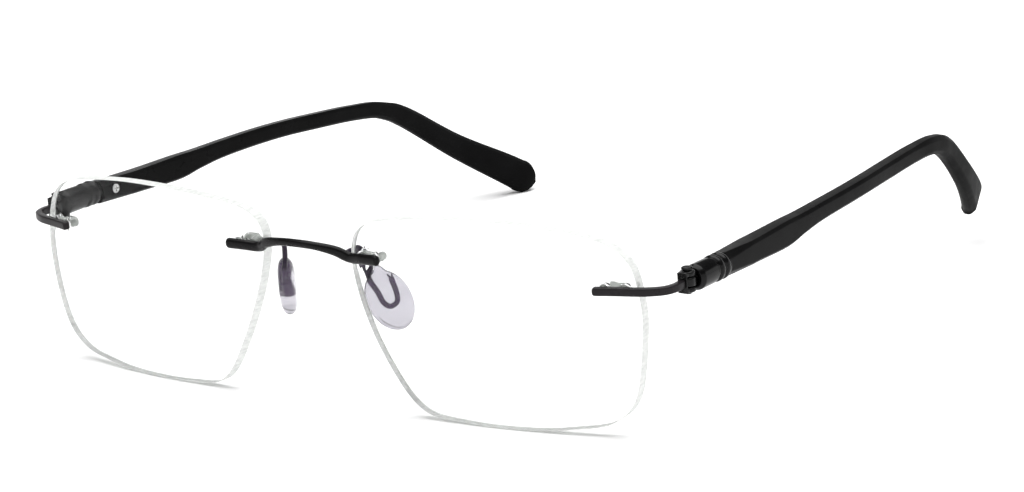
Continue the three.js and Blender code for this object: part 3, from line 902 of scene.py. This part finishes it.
def temple_mesh(side):
    """Blade up to the tip's length from the end, then rings that close in a rounded tip."""
    stations = spline([Vector(s[:4]) for s in TEMPLE_SECTIONS], 18, centripetal=False)
    depths = spline([Vector((s[4], 0)) for s in TEMPLE_SECTIONS], 18, centripetal=False)
    path = [Vector((p.x, p.y, p.z + adjusted_by(p.y, side))) for p in stations]
    rings = []
    run = [0.0]
    for i in range(1, len(path)):
        run.append(run[-1] + (path[i] - path[i - 1]).length)
    for i, centre in enumerate(path):
        if run[-1] - run[i] > TIP["length"] + 0.2:
            _, up = temple_frame(path, i)
            part = min(1.0, max(0.0, (centre.y - TIP["thin_from"]) / TIP["thin_over"]))
            depth = depths[i].x * (1 - TIP["thinning"] * part)
            rings.append(temple_ring(centre, up, stations[i].w, depth, centre.y))
    onward, up = temple_frame(path, len(path) - 1)
    for k in range(13):
        angle = math.pi / 2 * k / 12.4
        centre = path[-1] - onward * (TIP["length"] * (1 - math.sin(angle)))
        shrink = math.cos(angle) ** 0.8
        width = stations[-1].w * max(shrink, 0.5) ** 0.8
        depth = depths[-1].x * (1 - TIP["thinning"]) * shrink
        rings.append(temple_ring(centre, up, width, depth, 118))
    return bridge_rings(rings)


def temple_ring(centre, up, width, depth, y):
    """The section at y, scaled down as a whole where it is too small for its chamfers."""
    scale = min(1.0, depth / 3.0, width / 2.6)
    base = temple_outline(width / scale, depth / scale, y)
    return [centre + Vector((x * scale, 0, 0)) + up * (s * scale) for x, s in base]


def temple_with_fittings(side):
    """The temple with the pocket for the hinge tongue and the sunk seat of its screw."""
    w, half = TONGUE["width"] / 2 + GAP, KNUCKLE_HEIGHT / 2 + GAP
    pocket = plate(rect(-w, w, 0, TONGUE["length"] + 0.4, 0.05), -half, half, 0.02)
    y, radius, face = TEMPLE_SCREW["y"], TEMPLE_SCREW["radius"], TEMPLE_SCREW["face"]
    at_screw = Matrix.Translation((0, y, 0))
    sink = moved(rod(radius + 0.08, face - 3, face + 0.52, 0.01, "X", 40), at_screw)
    hole = moved(rod(TEMPLE_SCREW["shank"] + GAP, face - 1, 0.0, 0.01, "X", 32), at_screw)
    return cut(temple_mesh(side), pocket, sink, hole)


def temple_screw_mesh():
    """Flat screw with a rounded rim and a cross recess."""
    y, radius, face = TEMPLE_SCREW["y"], TEMPLE_SCREW["radius"], TEMPLE_SCREW["face"]
    head = rod(radius, face, face + TEMPLE_SCREW["head"], 0.1, "X", 56)
    shank = rod(TEMPLE_SCREW["shank"], face + 0.1, -0.1, 0.05, "X", 32)
    cross = [
        plate(rect(-0.15, 0.15, -0.58, 0.58, 0.05), face - 1, face + 0.26, 0.01, "X"),
        plate(rect(-0.58, 0.58, -0.15, 0.15, 0.05), face - 1, face + 0.26, 0.01, "X"),
    ]
    return moved(cut(union(head, shank), *cross), Matrix.Translation((0, y, 0)))


# ---- Assembly -------------------------------------------------------------------------------

add_piece("bridge", bridge_mesh(), STRAIGHT, 1, [BLACK_WIRE])

PIECES = [
    ("lens", lens_mesh(), LENS_TO_SPECTACLES, "lens", [CLEAR_LENS, GROUND_EDGE]),
    ("bridge_plug", plug_mesh(BRIDGE_HOLES), LENS_TO_SPECTACLES, "clear_plug", [CLEAR_PLUG]),
    ("endpiece_plug", plug_mesh(END_HOLES), LENS_TO_SPECTACLES, "clear_plug", [CLEAR_PLUG]),
    ("pad_arm", pad_arm_mesh(), STRAIGHT, "black_metal", [PAD_WIRE]),
    ("nose_pad", nose_pad_mesh(), STRAIGHT, "silicone", [SILICONE]),
    ("endpiece", endpiece_mesh(), STRAIGHT, "black_metal", [END_COAT]),
    ("hinge_fork", fork_mesh(), PIN_TO_SPECTACLES, "black_metal", [HINGE_COAT]),
    ("hinge_screw", hinge_screw_mesh(), PIN_TO_SPECTACLES, "black_metal", [HINGE_COAT]),
    ("hinge_knuckle", knuckle_mesh(), PIN_TO_SPECTACLES, "black_metal", [HINGE_COAT]),
    ("hinge_sleeve", sleeve_mesh(), PIN_TO_SPECTACLES, "black_gloss", [GLOSS_SLEEVE]),
    ("collar_ring", collar_mesh(), PIN_TO_SPECTACLES, "black_gloss", [GLOSS_SLEEVE]),
    ("temple_screw", temple_screw_mesh(), PIN_TO_SPECTACLES, "steel", [STEEL]),
]
for side, sign in SIDES:
    for node, mesh, place, slot, materials in PIECES:
        add_piece(f"{node}_{side}", mesh, place, sign, materials)
    temple = temple_with_fittings(side)
    add_piece(f"temple_{side}", temple, PIN_TO_SPECTACLES, sign, [SATIN_TEMPLE])


# ---- Floor, light and camera ----------------------------------------------------------------


def pale_floor():
    n = Nodes("pale_floor")
    n.link(n.mix_colors(n.noise(3, 3), (0.93, 0.93, 0.93), (0.95, 0.95, 0.95)), "Base Color")
    n.set(roughness=0.9, specular_ior_level=0.1)
    mesh = bpy.data.meshes.new("floor")
    reach = 6.0
    corners = [(-reach, -reach), (reach, -reach), (reach, reach), (-reach, reach)]
    mesh.from_pydata([(x, y, 0) for x, y in corners], [], [(0, 1, 2, 3)])
    mesh.materials.append(n.material)
    floor = bpy.data.objects.new("floor", mesh)
    bpy.context.scene.collection.objects.link(floor)


def studio_world():
    """Bright low backdrop, darker band above it, soft white overhead."""
    world = bpy.data.worlds.new("studio")
    world.use_nodes = True
    tree = world.node_tree
    coords = tree.nodes.new("ShaderNodeTexCoord")
    split = tree.nodes.new("ShaderNodeSeparateXYZ")
    ramp = tree.nodes.new("ShaderNodeValToRGB")
    stops = [(0.0, 1.6), (0.28, 1.6), (0.37, 0.16), (0.66, 0.16), (0.85, 1.2), (1.0, 1.2)]
    ramp.color_ramp.elements[0].position = stops[0][0]
    ramp.color_ramp.elements[1].position = stops[-1][0]
    for position, _ in stops[1:-1]:
        ramp.color_ramp.elements.new(position)
    for element, (position, value) in zip(ramp.color_ramp.elements, stops):
        element.position = position
        element.color = (value, value, value, 1)
    tree.links.new(coords.outputs["Generated"], split.inputs["Vector"])
    tree.links.new(split.outputs["Z"], ramp.inputs["Fac"])
    tree.links.new(ramp.outputs["Color"], tree.nodes["Background"].inputs["Color"])
    tree.nodes["Background"].inputs["Strength"].default_value = 0.75
    bpy.context.scene.world = world


def soft_box(name, location, target, size, watts):
    light = bpy.data.lights.new(name, "AREA")
    light.shape = "RECTANGLE"
    light.size, light.size_y = size
    light.energy = watts
    lamp = bpy.data.objects.new(name, light)
    lamp.location = location
    lamp.rotation_mode = "QUATERNION"
    lamp.rotation_quaternion = (Vector(target) - Vector(location)).to_track_quat("-Z", "Y")
    bpy.context.scene.collection.objects.link(lamp)


# The camera stands in the spectacle frame: distance and aim in millimetres.
CAMERA_AZIMUTH = math.radians(37.15)
CAMERA_ELEVATION = math.radians(15.40)
CAMERA_ROLL = math.radians(-4.70)
CAMERA_DISTANCE = 627.7
CAMERA_AIM = Vector((26.33, 21.87, 5.58))
CAMERA_LENS = 133.7


def camera():
    a, e, r = CAMERA_AZIMUTH, CAMERA_ELEVATION, CAMERA_ROLL
    ahead = Vector((-math.sin(a) * math.cos(e), math.cos(a) * math.cos(e), -math.sin(e)))
    right = Vector((math.cos(a), math.sin(a), 0))
    up = right.cross(ahead)
    right, up = right * math.cos(r) + up * math.sin(r), up * math.cos(r) - right * math.sin(r)
    place = Matrix((right, up, -ahead)).transposed().to_4x4()
    place.translation = (CAMERA_AIM - ahead * CAMERA_DISTANCE) * MM
    data = bpy.data.cameras.new("camera")
    data.lens = CAMERA_LENS
    data.clip_start = 0.01
    made = bpy.data.objects.new("camera", data)
    made.matrix_world = Matrix.Translation(ORIGIN) @ TURN @ place
    bpy.context.scene.collection.objects.link(made)
    bpy.context.scene.camera = made


pale_floor()
studio_world()
soft_box("overhead", (0.0, 0.1, 1.3), (0, 0, 0), (1.6, 1.6), 26)
camera()
bpy.context.scene.view_settings.view_transform = "Standard"
